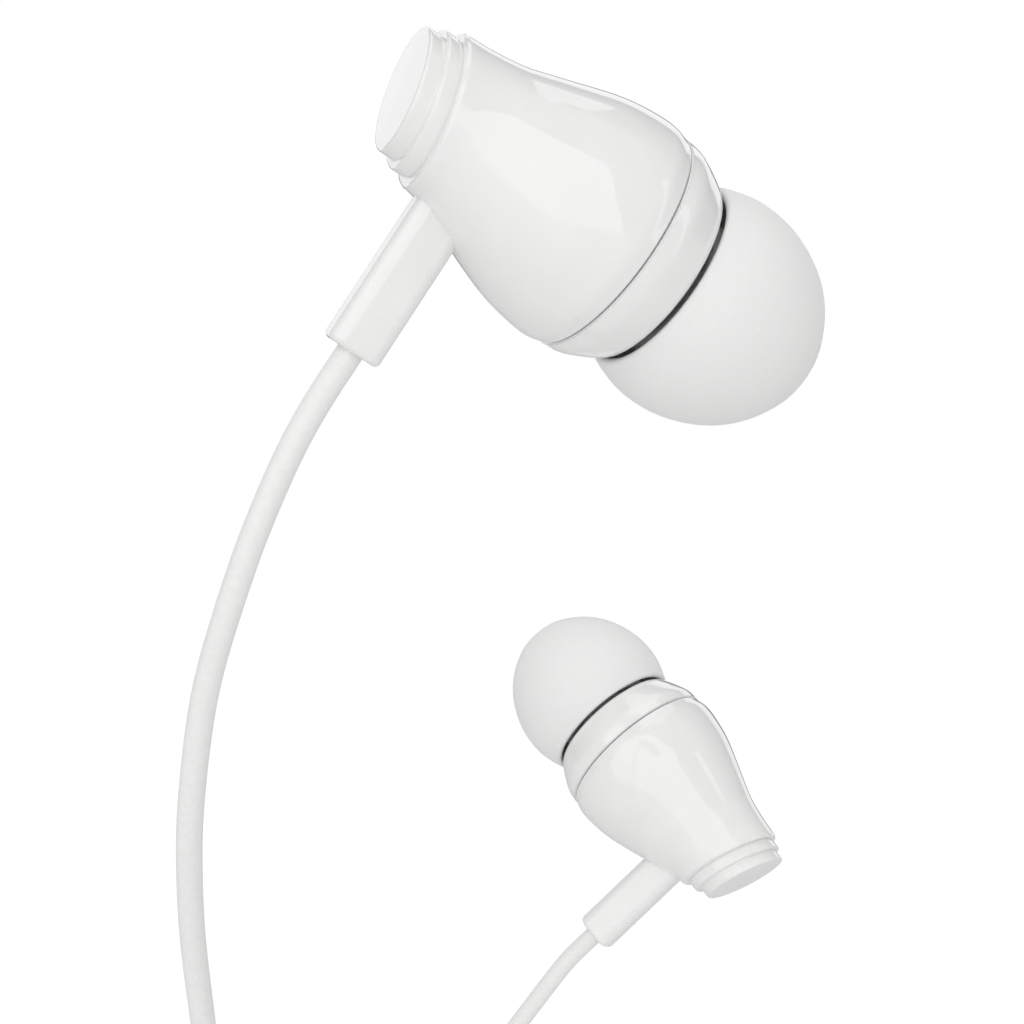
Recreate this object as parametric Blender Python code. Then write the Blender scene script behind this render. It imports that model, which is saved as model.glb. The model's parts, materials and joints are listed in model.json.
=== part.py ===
"""A pair of wired in-ear earphones, held at the ear tips, with the spare cord wound into a tied hank.

Sizes are in millimetres and are turned into metres when a mesh is made.
An earpiece is modelled once, in its own frame: +X runs from the tail to the ear tip along the axis of
the body, the origin is the centre of the tip's widest ring, and the cord's sleeve points along -Z.
An empty on each side then places it. The part's origin is the left tip's centre, +Z is up.
"""

import math

import bmesh
import bpy
from mathutils import Matrix, Vector

MM = 0.001
GAP = 0.3  # running gap between pieces that touch
SIDES = 28  # facets round the casings and the tips
FINE_SIDES = 20  # facets round the small inner pieces

# ear tip, a silicone mushroom: measured from its widest ring
TIP_RADIUS = 6.0
TIP_SKIRT_LENGTH = 1.95
TIP_SKIRT_RADIUS = 5.5
TIP_DOME_LENGTH = 6.9
TIP_NOSE_RADIUS = 3.0
TIP_WALL = 0.5
TIP_CORE_WALL = 0.7
TIP_BORE_RADIUS = 2.1
TIP_LIP = 0.2  # rounding of the nose, the bore and the sleeve of the core
TIP_CROWN = 1.6  # from the nose to the inside of the dome

# nozzle that carries the tip
NOZZLE_RADIUS = 2.5
NOZZLE_BORE = 1.8
NOZZLE_LIP = 0.3
NOZZLE_LENGTH = 6.2  # from the front cap's rim
MESH_RADIUS = 2.0
MESH_THICKNESS = 0.2

# front cap
RIM_GAP = 0.35  # from the rim to the tip's skirt
RIM_RADIUS = 5.1
FRONT_CAP_LENGTH = 3.0
FRONT_WALL = 0.9
RECESS_DEPTH = 0.8  # seat of the gasket ring
RECESS_LAND = 0.3  # width of the rim round the recess

# rear shell, a bottle with a concave neck
SEAM_RADIUS = 6.25
BELLY_RADIUS = 6.42
BELLY_FROM_SEAM = 1.1
SHOULDER_RADIUS = 5.94
SHOULDER_FROM_SEAM = 4.2
WAIST_RADIUS = 5.02
WAIST_FROM_TAIL = 4.6
NECK_RADIUS = 4.05
NECK_FROM_TAIL = 1.6
TAIL_RADIUS = 3.85
REAR_SHELL_LENGTH = 11.4
SHELL_WALL = 0.9
SPIGOT_LENGTH = 1.3  # the front cap's ring inside the rear shell
SPIGOT_WALL = 0.4

# stepped tail cap
TAIL_SLANT = math.radians(13)  # the tail's end face leans towards the sleeve
SLANT_REACH = 3.0
STEP_RADIUS = 3.47
STEP_HEIGHT = 0.6
FACE_RADIUS = 3.1
FACE_HEIGHT = 0.9
TAIL_PLUG_LENGTH = 0.4
CAP_EDGE = 0.2

# sleeve that takes the cord out of the shell
SLEEVE_WIDTH = 3.0
SLEEVE_DEPTH = 2.3
SLEEVE_CORNER = 0.8
SLEEVE_FROM_TAIL = 3.2
SLEEVE_END = 12.0  # from the body's axis
SLEEVE_START = 2.3
CRIMP_RADIUS = 1.3
CRIMP_LENGTH = 1.2

# driver, stacked along the axis behind the front wall
DRIVER_FRAME_WALL = 0.35
DRIVER_FRAME_LENGTH = 2.2
DRIVER_FRAME_BACK = 0.35
YOKE_INSET = 1.35  # driver radius less yoke radius
YOKE_WALL = 0.3
YOKE_BASE = 0.5
YOKE_DEPTH = 2.6
COIL_WALL = 0.25
COIL_LENGTH = 1.5
DIAPHRAGM_THICKNESS = 0.15
DIAPHRAGM_RISE = 0.35
TOP_PLATE_THICKNESS = 0.5
MAGNET_THICKNESS = 0.9
FELT_THICKNESS = 0.4
BOARD_THICKNESS = 0.4
BOARD_WIDTH = 2.6
BOARD_HEIGHT = 3.64

# cords
EAR_CORD = 1.4
MAIN_CORD = 2.2
CORD_STEP = 2.6  # diameters between the points of a long tube
SHORT_CORD_STEP = 1.0  # and of a short one

# hank: upright racetracks, side by side in Y
HANK_X = -17.5
HANK_Y = 32.0
HANK_TOP = -82.0  # centre of the upper end loops
HANK_RUN = 34.0
HANK_PITCH = 0.1  # added to a diameter between neighbouring turns
MAIN_INNER_RADIUS = 6.8
MAIN_LAYERS = 3
LEFT_HANK_RADIUS = 7.0
RIGHT_HANK_RADIUS = 9.0
EAR_TURNS = 2

# tie round the hank
TIE_HEIGHT = 5.0
TIE_WALL = 0.8
TIE_CORNER = 2.5

# splitter where the three cords meet
SPLITTER_PLACE = (-25.2, 28.2, -135.0)  # centre of its top face
SPLITTER_WIDTH = 5.6
SPLITTER_DEPTH = 3.6
SPLITTER_LENGTH = 10.0
SPLITTER_COLLAR_LENGTH = 1.5
SPLITTER_COLLAR_INSET = 0.4
SPLITTER_FORK = 1.2  # from its centre to each ear cord

# plug, a 3.5 mm jack with three contacts, hanging tip down
PLUG_PLACE = (-17.5, 38.5, -137.0)  # top of its strain relief
JACK_RADIUS = 1.75
SLEEVE_CONTACT_LENGTH = 7.6
RING_CONTACT_LENGTH = 2.0
TIP_CONTACT_LENGTH = 3.4
INSULATOR_LENGTH = 0.7
PLUG_GRIP_RADIUS = 2.7
PLUG_GRIP_LENGTH = 14.0
RELIEF_LENGTH = 6.0
RELIEF_RADIUS = 1.8
RELIEF_STEPS = 3
RELIEF_WALL = 0.2  # at its thin end, round the cord
PLUG_GRIP_EASE = 0.5
ROD_RADIUS = 0.45  # the core that carries the tip contact

# how each earpiece is held: origin, direction tail to tip, direction of the sleeve
EARPIECES = {
    "left": ((0.0, 0.0, 0.0), (0.7823, 0.3612, -0.5074), (-0.5475, 0.0102, -0.8368)),
    "right": ((-2.39, 56.69, -26.32), (-0.5944, 0.4241, 0.6832), (-0.6923, 0.1623, -0.7031)),
}

# free stretches of the cords, by hand, between their ends
LEFT_ROUTE = (
    (-20.2, -4.6, -8.3), (-22.0, -4.2, -12.4), (-23.4, -3.4, -16.2), (-24.4, -2.4, -19.2),
    (-25.1, -1.2, -22.0), (-25.8, 0.6, -26.0), (-26.2, 2.4, -29.4), (-26.5, 5.4, -34.1),
    (-26.5, 9.0, -39.6), (-26.4, 13.0, -46.2), (-26.0, 17.4, -53.6), (-25.4, 21.8, -61.4),
    (-24.8, 25.4, -69.6),
)
RIGHT_ROUTE = (
    (-5.7, 53.5, -47.3), (-8.7, 54.2, -51.4), (-12.2, 53.6, -56.0), (-16.2, 51.8, -60.8),
    (-20.2, 48.8, -65.6), (-23.8, 44.6, -70.6), (-25.9, 40.2, -74.6),
)
LEFT_TAIL_ROUTE = ((-24.6, 24.5, -121.0), (-24.9, 25.8, -127.6))
RIGHT_TAIL_ROUTE = ((-26.6, 39.5, -119.6), (-26.5, 38.0, -123.6), (-26.0, 34.6, -127.4), (-25.4, 31.0, -130.6))
MAIN_START_ROUTE = (
    (-25.2, 28.2, -149.6), (-24.0, 28.2, -153.0), (-21.2, 28.4, -155.8), (-16.9, 28.6, -156.9),
    (-12.6, 29.0, -155.2), (-9.8, 29.4, -151.2), (-8.6, 29.7, -145.6), (-8.4, 29.7, -136.0),
)
MAIN_END_ROUTE = ((-23.6, 34.8, -128.6), (-20.6, 36.8, -131.2), (-18.2, 38.2, -133.2))

# places along an earpiece's axis
RIM_X = -(TIP_SKIRT_LENGTH + RIM_GAP)
SEAM_X = RIM_X - FRONT_CAP_LENGTH
TAIL_X = SEAM_X - REAR_SHELL_LENGTH
SLEEVE_X = TAIL_X + SLEEVE_FROM_TAIL

# radii that follow from the seam inwards
SPIGOT_RADIUS = SEAM_RADIUS - SHELL_WALL - GAP - 0.1
CAVITY_RADIUS = SPIGOT_RADIUS - SPIGOT_WALL
DRIVER_RADIUS = CAVITY_RADIUS - GAP
YOKE_RADIUS = DRIVER_RADIUS - YOKE_INSET
COIL_RADIUS = YOKE_RADIUS - YOKE_WALL - GAP
PLATE_RADIUS = COIL_RADIUS - COIL_WALL - GAP

# places of the driver's pieces, from the front wall backwards
FRONT_WALL_X = RIM_X - RECESS_DEPTH - FRONT_WALL
DIAPHRAGM_X = FRONT_WALL_X - GAP - DIAPHRAGM_RISE - DIAPHRAGM_THICKNESS
DRIVER_FRAME_X = DIAPHRAGM_X - GAP
COIL_X = DIAPHRAGM_X - GAP
TOP_PLATE_X = COIL_X - GAP
MAGNET_X = TOP_PLATE_X - TOP_PLATE_THICKNESS - GAP
YOKE_FLOOR_X = MAGNET_X - MAGNET_THICKNESS - GAP
YOKE_BACK_X = YOKE_FLOOR_X - YOKE_BASE
FRAME_BACK_X = DRIVER_FRAME_X - DRIVER_FRAME_LENGTH
BOARD_X = YOKE_BACK_X - GAP


def rgb(hex_colour):
    """Linear colour of an sRGB hex value."""
    values = [int(hex_colour[i : i + 2], 16) / 255 for i in (0, 2, 4)]
    return [v / 12.92 if v <= 0.04045 else ((v + 0.055) / 1.055) ** 2.4 for v in values]


def material(name, colour, roughness, metallic=0.0):
    """A Principled material, made once for each name."""
    found = bpy.data.materials.get(name)
    if found:
        return found
    made = bpy.data.materials.new(name)
    made.use_nodes = True
    shader = made.node_tree.nodes["Principled BSDF"]
    shader.inputs["Base Color"].default_value = (*rgb(colour), 1.0)
    shader.inputs["Roughness"].default_value = roughness
    shader.inputs["Metallic"].default_value = metallic
    return made


def white_gloss():
    return material("gloss_white_abs", "f2f2f1", 0.12)


def silicone():
    return material("white_silicone", "ececeb", 0.55)


def charcoal():
    return material("charcoal_elastomer", "2b2c2e", 0.6)


def cord_jacket():
    return material("white_cord_jacket", "ebebea", 0.4)


def steel():
    return material("steel", "b9bbbe", 0.35, 1.0)


def plated():
    return material("gold_plating", "d9b36a", 0.2, 1.0)


def catmull(points, steps):
    """Points along a smooth curve through the given points, with a number of steps in each span."""
    points = [Vector(p) for p in points]
    ends = [2 * points[0] - points[1], *points, 2 * points[-1] - points[-2]]
    curve = []
    for a, b, c, d in zip(ends, ends[1:], ends[2:], ends[3:]):
        for i in range(steps):
            t = i / steps
            curve.append(
                0.5 * (2 * b + (c - a) * t + (2 * a - 5 * b + 4 * c - d) * t * t + (3 * b - a - 3 * c + d) * t**3)
            )
    return [*curve, points[-1]]


def evenly(points, step):
    """The same polyline with points about a step apart."""
    marks = [0.0]
    for a, b in zip(points, points[1:]):
        marks.append(marks[-1] + (b - a).length)
    count = max(2, round(marks[-1] / step))
    spaced = []
    span = 0
    for k in range(count + 1):
        at = marks[-1] * k / count
        while span < len(points) - 2 and marks[span + 1] < at:
            span += 1
        share = (at - marks[span]) / (marks[span + 1] - marks[span])
        spaced.append(points[span].lerp(points[span + 1], share))
    return spaced


def slanted(x, z):
    """The x of a point near the tail once the end face leans towards the sleeve."""
    reach = min(max((TAIL_X + SLANT_REACH - x) / SLANT_REACH, 0.0), 1.0)
    return x - math.tan(TAIL_SLANT) * z * reach * reach * (3 - 2 * reach)


def finish_mesh(shape, name):
    """Closed mesh from a bmesh in millimetres, with normals out and its rounds shaded smooth."""
    bmesh.ops.remove_doubles(shape, verts=shape.verts, dist=1e-4)
    bmesh.ops.recalc_face_normals(shape, faces=shape.faces)
    bmesh.ops.scale(shape, vec=(MM, MM, MM), verts=shape.verts)
    mesh = bpy.data.meshes.new(name)
    shape.to_mesh(mesh)
    shape.free()
    mesh.shade_smooth()
    mesh.set_sharp_from_angle(angle=math.radians(35))
    return mesh


def turned(name, outline, sides=SIDES, slant=False):
    """A solid turned about the X axis from an outline of (x, radius), closed or with both ends on the axis."""
    shape = bmesh.new()
    corners = [shape.verts.new((x, 0.0, radius)) for x, radius in outline]
    pairs = list(zip(corners, corners[1:]))
    if outline[0][1] > 0:
        pairs.append((corners[-1], corners[0]))
    edges = [shape.edges.new(pair) for pair in pairs]
    bmesh.ops.spin(
        shape, geom=corners + edges, cent=(0, 0, 0), axis=(1, 0, 0), angle=math.tau, steps=sides, use_merge=True
    )
    if slant:
        for vert in shape.verts:
            vert.co.x = slanted(vert.co.x, vert.co.z)
    return finish_mesh(shape, name)


def tube_outline(front, back, outer, inner):
    """Outline of a plain ring between two places on the axis."""
    return ((front, inner), (front, outer), (back, outer), (back, inner))


def disc_outline(front, back, radius):
    """Outline of a plain disc between two places on the axis."""
    return ((front, 0.0), (front, radius), (back, radius), (back, 0.0))


def rounded_rectangle(width, depth, corner, steps=4):
    """Corners of a rounded rectangle about the origin, anticlockwise."""
    points = []
    for k, (sx, sy) in enumerate(((1, 1), (-1, 1), (-1, -1), (1, -1))):
        for i in range(steps + 1):
            angle = math.pi / 2 * (k + i / steps)
            points.append(
                (
                    sx * (width / 2 - corner) + corner * math.cos(angle),
                    sy * (depth / 2 - corner) + corner * math.sin(angle),
                )
            )
    return points


def racetrack(radius, run, steps=8):
    """Outline of a hank in X and Z: two upright runs joined by half circles."""
    top = [(radius * math.cos(math.pi * i / steps), radius * math.sin(math.pi * i / steps)) for i in range(steps + 1)]
    return top + [(-x, -z - run) for x, z in top]


def extruded(name, outer, inner, place, low, high):
    """A prism with a hole from two outlines of the same number of points; place turns (u, v, height) into x, y, z."""
    shape = bmesh.new()
    rings = [
        [shape.verts.new(place(u, v, height)) for u, v in outline]
        for outline, height in ((outer, low), (outer, high), (inner, high), (inner, low))
    ]
    count = len(outer)
    for ring, following in zip(rings, rings[1:] + rings[:1]):
        for i in range(count):
            j = (i + 1) % count
            shape.faces.new((ring[i], ring[j], following[j], following[i]))
    return finish_mesh(shape, name)


def add(name, mesh, finish, parent=None):
    """An object with one material, under its parent."""
    made = bpy.data.objects.new(name, mesh)
    bpy.context.scene.collection.objects.link(made)
    made.parent = parent
    if not mesh.materials:
        mesh.materials.append(finish)
    return made


def cut(mesh, cutter_mesh, name):
    """The mesh with the cutter taken away from it."""
    whole = bpy.data.objects.new(f"{name}_whole", mesh)
    cutter = bpy.data.objects.new(f"{name}_cutter", cutter_mesh)
    for item in (whole, cutter):
        bpy.context.scene.collection.objects.link(item)
    cutter.hide_render = True
    cutter.display_type = "WIRE"
    boolean = whole.modifiers.new("opening", "BOOLEAN")
    boolean.object = cutter
    result = bpy.data.meshes.new_from_object(whole.evaluated_get(bpy.context.evaluated_depsgraph_get()))
    result.name = name
    bpy.data.objects.remove(whole)
    bpy.data.objects.remove(cutter)
    return result


def tube(name, points, diameter, step=CORD_STEP):
    """A cord as a bevelled poly curve with filled caps, and its points a step in diameters apart."""
    curve = bpy.data.curves.new(name, "CURVE")
    curve.dimensions = "3D"
    curve.bevel_depth = diameter / 2 * MM
    curve.bevel_resolution = 2
    curve.use_fill_caps = True
    line = curve.splines.new("POLY")
    spaced = evenly(points, step * diameter)
    line.points.add(len(spaced) - 1)
    for point, place in zip(line.points, spaced):
        point.co = (*(place * MM), 1.0)
    made = bpy.data.objects.new(name, curve)
    bpy.context.scene.collection.objects.link(made)
    curve.materials.append(cord_jacket())
    return made


# ear tip and front


def ear_tip_mesh():
    """The silicone mushroom: a dome folded back over the core that grips the nozzle."""
    lip_radius = NOZZLE_RADIUS + NOZZLE_LIP
    core_bore = lip_radius + GAP
    core_radius = core_bore + TIP_CORE_WALL
    nozzle_end = RIM_X + NOZZLE_LENGTH
    dome = [(0.0, TIP_RADIUS)]
    for i in range(1, 7):
        angle = math.pi / 2 * i / 7.2
        dome.append((TIP_DOME_LENGTH * math.sin(angle), TIP_RADIUS * math.cos(angle) ** 0.8))
    dome = [p for p in dome if p[1] > TIP_NOSE_RADIUS]
    inside = [(x * (TIP_DOME_LENGTH - TIP_CROWN) / TIP_DOME_LENGTH, r - TIP_WALL) for x, r in dome]
    inside = [p for p in inside if p[1] > core_radius + TIP_LIP]
    outline = [
        (-TIP_SKIRT_LENGTH, TIP_SKIRT_RADIUS - TIP_WALL),
        (-TIP_SKIRT_LENGTH, TIP_SKIRT_RADIUS),
        (-TIP_SKIRT_LENGTH / 2, (TIP_SKIRT_RADIUS + TIP_RADIUS) / 2 + 0.12),
        *dome,
        (TIP_DOME_LENGTH - 0.15, TIP_NOSE_RADIUS - TIP_LIP),
        (TIP_DOME_LENGTH, TIP_BORE_RADIUS + 0.3),
        (TIP_DOME_LENGTH - TIP_LIP, TIP_BORE_RADIUS),
        (nozzle_end + GAP, TIP_BORE_RADIUS),
        (nozzle_end + GAP, core_bore),
        (-TIP_SKIRT_LENGTH + 2 * TIP_LIP, core_bore),
        (-TIP_SKIRT_LENGTH + 2 * TIP_LIP, core_radius),
        (inside[-1][0], core_radius),
        *reversed(inside),
    ]
    return turned("ear_tip", outline)


def front_cap_mesh():
    """The front casing: outer curve, recess for the gasket, nozzle with its lip, and the spigot for the shell."""
    rim = Vector((RIM_X, RIM_RADIUS))
    seam = Vector((SEAM_X, SEAM_RADIUS))
    bulge = Vector((RIM_X - FRONT_CAP_LENGTH * 0.5, (RIM_RADIUS + SEAM_RADIUS) / 2 + 0.28))
    curve = [(p.x, p.y) for p in catmull((seam.to_3d(), bulge.to_3d(), rim.to_3d()), 2)]
    recess = RIM_X - RECESS_DEPTH
    nozzle_end = RIM_X + NOZZLE_LENGTH
    spigot_end = SEAM_X - SPIGOT_LENGTH
    outline = [
        *curve,
        (RIM_X, RIM_RADIUS - RECESS_LAND),
        (recess, RIM_RADIUS - RECESS_LAND),
        (recess, NOZZLE_RADIUS),
        (nozzle_end - 1.0, NOZZLE_RADIUS),
        (nozzle_end - 0.8, NOZZLE_RADIUS + NOZZLE_LIP),
        (nozzle_end - 0.3, NOZZLE_RADIUS + NOZZLE_LIP),
        (nozzle_end, NOZZLE_RADIUS + 0.05),
        (nozzle_end, MESH_RADIUS + GAP / 2),
        (nozzle_end - MESH_THICKNESS - GAP, MESH_RADIUS + GAP / 2),
        (nozzle_end - MESH_THICKNESS - GAP, NOZZLE_BORE),
        (FRONT_WALL_X, NOZZLE_BORE),
        (FRONT_WALL_X, CAVITY_RADIUS),
        (spigot_end, CAVITY_RADIUS),
        (spigot_end, SPIGOT_RADIUS),
        (SEAM_X, SPIGOT_RADIUS),
    ]
    return turned("front_cap", outline)


def gasket_mesh():
    """The dark ring that lies in the recess round the nozzle."""
    back = RIM_X - RECESS_DEPTH + GAP
    outer = RIM_RADIUS - RECESS_LAND - GAP
    return turned("gasket_ring", tube_outline(RIM_X, back, outer, NOZZLE_RADIUS + GAP))


def nozzle_mesh_mesh():
    """The round screen in the nozzle's mouth."""
    front = RIM_X + NOZZLE_LENGTH
    return turned("nozzle_mesh", disc_outline(front, front - MESH_THICKNESS, MESH_RADIUS), FINE_SIDES)


# rear


def rear_shell_mesh():
    """The bottle-shaped shell, open at the seam and at the tail, with the sleeve's opening in its side."""
    front = SEAM_X - GAP
    stations = (
        (front, SEAM_RADIUS),
        (SEAM_X - BELLY_FROM_SEAM, BELLY_RADIUS),
        (SEAM_X - SHOULDER_FROM_SEAM, SHOULDER_RADIUS),
        (TAIL_X + WAIST_FROM_TAIL, WAIST_RADIUS),
        (TAIL_X + NECK_FROM_TAIL, NECK_RADIUS),
        (TAIL_X, TAIL_RADIUS),
    )
    outer = [(p.x, p.y) for p in catmull([(x, r, 0.0) for x, r in stations], 2)]
    inner = [(x, r - SHELL_WALL) for x, r in reversed(stations)]
    spigot_seat = SPIGOT_RADIUS + GAP
    inner[-1] = (front, spigot_seat)
    inner[-2] = (SEAM_X - SPIGOT_LENGTH - GAP, spigot_seat)
    mesh = turned("rear_shell", [*outer, *inner], slant=True)
    opening = sleeve_prism("sleeve_opening", GAP, 0.0, SLEEVE_END)
    return cut(mesh, opening, "rear_shell")


def tail_cap_mesh():
    """The stepped end cap: a plug in the shell's tail, a wide step and the end face."""
    seat = TAIL_X - GAP
    step = seat - STEP_HEIGHT
    face = step - FACE_HEIGHT
    plug_end = TAIL_X + TAIL_PLUG_LENGTH
    plug_radius = TAIL_RADIUS - SHELL_WALL - GAP
    outline = (
        (plug_end, 0.0),
        (plug_end, plug_radius),
        (seat, plug_radius),
        (seat, STEP_RADIUS),
        (step + CAP_EDGE, STEP_RADIUS),
        (step, STEP_RADIUS - CAP_EDGE),
        (step, FACE_RADIUS),
        (face + CAP_EDGE, FACE_RADIUS),
        (face, FACE_RADIUS - CAP_EDGE),
        (face, 0.0),
    )
    return turned("tail_cap", outline, slant=True)


def sleeve_prism(name, grow, top, bottom):
    """The sleeve's outer shape, larger all round by grow, between two distances below the axis, as a solid."""
    shape = bmesh.new()
    outline = rounded_rectangle(SLEEVE_WIDTH + 2 * grow, SLEEVE_DEPTH + 2 * grow, SLEEVE_CORNER + grow)
    base = [shape.verts.new((SLEEVE_X + u, v, -bottom)) for u, v in outline]
    face = shape.faces.new(base)
    lifted = bmesh.ops.extrude_face_region(shape, geom=[face])
    moved = [item for item in lifted["geom"] if isinstance(item, bmesh.types.BMVert)]
    bmesh.ops.translate(shape, vec=(0, 0, bottom - top), verts=moved)
    return finish_mesh(shape, name)


def sleeve_mesh():
    """The rounded bar that carries the cord out of the shell, bored for the cord."""
    outer = rounded_rectangle(SLEEVE_WIDTH, SLEEVE_DEPTH, SLEEVE_CORNER)
    bore_radius = EAR_CORD / 2 + GAP
    bore = rounded_rectangle(2 * bore_radius, 2 * bore_radius, bore_radius * 0.98)
    return extruded(
        "stem_sleeve", outer, bore, lambda u, v, h: (SLEEVE_X + u, v, -h), SLEEVE_END, SLEEVE_START
    )


def crimp_mesh():
    """The collar clenched on the cord inside the shell, which stops it pulling out."""
    shape = bmesh.new()
    top = -(SLEEVE_START - GAP - CRIMP_LENGTH)
    place = Matrix.Translation((SLEEVE_X, 0, top - CRIMP_LENGTH / 2))
    bmesh.ops.create_cone(
        shape,
        cap_ends=True,
        segments=FINE_SIDES,
        radius1=CRIMP_RADIUS,
        radius2=CRIMP_RADIUS,
        depth=CRIMP_LENGTH,
        matrix=place,
    )
    return finish_mesh(shape, "cord_crimp")


# driver


def driver_frame_mesh():
    """The basket: a ring that carries the diaphragm and, with its back flange, the yoke."""
    hole = YOKE_RADIUS + GAP
    outline = (
        (DRIVER_FRAME_X, DRIVER_RADIUS - DRIVER_FRAME_WALL),
        (DRIVER_FRAME_X, DRIVER_RADIUS),
        (FRAME_BACK_X, DRIVER_RADIUS),
        (FRAME_BACK_X, hole),
        (FRAME_BACK_X + DRIVER_FRAME_BACK, hole),
        (FRAME_BACK_X + DRIVER_FRAME_BACK, DRIVER_RADIUS - DRIVER_FRAME_WALL),
    )
    return turned("driver_frame", outline, FINE_SIDES)


def diaphragm_mesh():
    """The thin film: a domed middle inside a flat surround."""
    steps = 4
    top = []
    for i in range(steps + 1):
        share = i / steps
        top.append((DIAPHRAGM_RISE * (1 - share * share), COIL_RADIUS * share))
    front = [(DIAPHRAGM_X + rise + DIAPHRAGM_THICKNESS, radius) for rise, radius in top]
    back = [(DIAPHRAGM_X + rise, radius) for rise, radius in reversed(top)]
    edge = ((DIAPHRAGM_X + DIAPHRAGM_THICKNESS, DRIVER_RADIUS), (DIAPHRAGM_X, DRIVER_RADIUS))
    return turned("diaphragm", [*front, *edge, *back], FINE_SIDES)


def coil_mesh():
    """The ring of wire in the magnet's gap."""
    outline = tube_outline(COIL_X, COIL_X - COIL_LENGTH, COIL_RADIUS, COIL_RADIUS - COIL_WALL)
    return turned("voice_coil", outline, FINE_SIDES)


def top_plate_mesh():
    outline = disc_outline(TOP_PLATE_X, TOP_PLATE_X - TOP_PLATE_THICKNESS, PLATE_RADIUS)
    return turned("driver_top_plate", outline, FINE_SIDES)


def magnet_mesh():
    outline = disc_outline(MAGNET_X, MAGNET_X - MAGNET_THICKNESS, PLATE_RADIUS)
    return turned("driver_magnet", outline, FINE_SIDES)


def yoke_mesh():
    """The steel cup behind and round the magnet."""
    inner = YOKE_RADIUS - YOKE_WALL
    rim = YOKE_BACK_X + YOKE_DEPTH
    outline = (
        (YOKE_BACK_X, 0.0),
        (YOKE_BACK_X, YOKE_RADIUS),
        (rim, YOKE_RADIUS),
        (rim, inner),
        (YOKE_FLOOR_X, inner),
        (YOKE_FLOOR_X, 0.0),
    )
    return turned("driver_yoke", outline, FINE_SIDES)


def felt_mesh():
    """The acoustic paper ring on the back of the driver."""
    front = FRAME_BACK_X - GAP
    outline = tube_outline(front, front - FELT_THICKNESS, DRIVER_RADIUS - 0.1, YOKE_RADIUS + GAP)
    return turned("tuning_felt", outline, FINE_SIDES)


def board_mesh():
    """The little board behind the yoke on which the cord's wires are soldered."""
    shape = bmesh.new()
    bmesh.ops.create_cube(shape, size=1.0)
    bmesh.ops.scale(shape, vec=(BOARD_THICKNESS, BOARD_HEIGHT, BOARD_WIDTH), verts=shape.verts)
    bmesh.ops.translate(shape, vec=(BOARD_X - BOARD_THICKNESS / 2, 0, 0), verts=shape.verts)
    return finish_mesh(shape, "solder_board")


def earpiece_pieces():
    """Name, mesh and material of each piece of one earpiece."""
    return (
        ("rear_shell", rear_shell_mesh(), white_gloss()),
        ("tail_cap", tail_cap_mesh(), white_gloss()),
        ("front_cap", front_cap_mesh(), white_gloss()),
        ("gasket_ring", gasket_mesh(), charcoal()),
        ("nozzle_mesh", nozzle_mesh_mesh(), steel()),
        ("ear_tip", ear_tip_mesh(), silicone()),
        ("stem_sleeve", sleeve_mesh(), white_gloss()),
        ("cord_crimp", crimp_mesh(), steel()),
        ("driver_frame", driver_frame_mesh(), material("black_abs", "1d1e20", 0.5)),
        ("diaphragm", diaphragm_mesh(), material("polymer_film", "c9b98f", 0.25)),
        ("voice_coil", coil_mesh(), material("copper_wire", "b8734a", 0.3, 1.0)),
        ("driver_top_plate", top_plate_mesh(), steel()),
        ("driver_magnet", magnet_mesh(), material("plated_magnet", "a9abad", 0.25, 1.0)),
        ("driver_yoke", yoke_mesh(), steel()),
        ("tuning_felt", felt_mesh(), material("black_felt", "26262a", 0.9)),
        ("solder_board", board_mesh(), material("circuit_board", "2f5d44", 0.45)),
    )


def place_earpiece(side, pieces):
    """An empty that holds one earpiece as it is worn, with the pieces under it."""
    origin, towards_tip, towards_sleeve = EARPIECES[side]
    x = Vector(towards_tip).normalized()
    z = -Vector(towards_sleeve)
    z = (z - z.dot(x) * x).normalized()
    turn = Matrix((x, z.cross(x), z)).transposed().to_4x4()
    holder = bpy.data.objects.new(f"{side}_earpiece", None)
    bpy.context.scene.collection.objects.link(holder)
    holder.matrix_world = Matrix.Translation(Vector(origin) * MM) @ turn
    for name, mesh, finish in pieces:
        add(f"{side}_{name}", mesh, finish, holder)
    return Matrix.Translation(Vector(origin)) @ turn


# cords


def along(place, distance):
    """A point on the sleeve's axis, a distance below the body's axis."""
    return place @ Vector((SLEEVE_X, 0.0, -distance))


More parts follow.
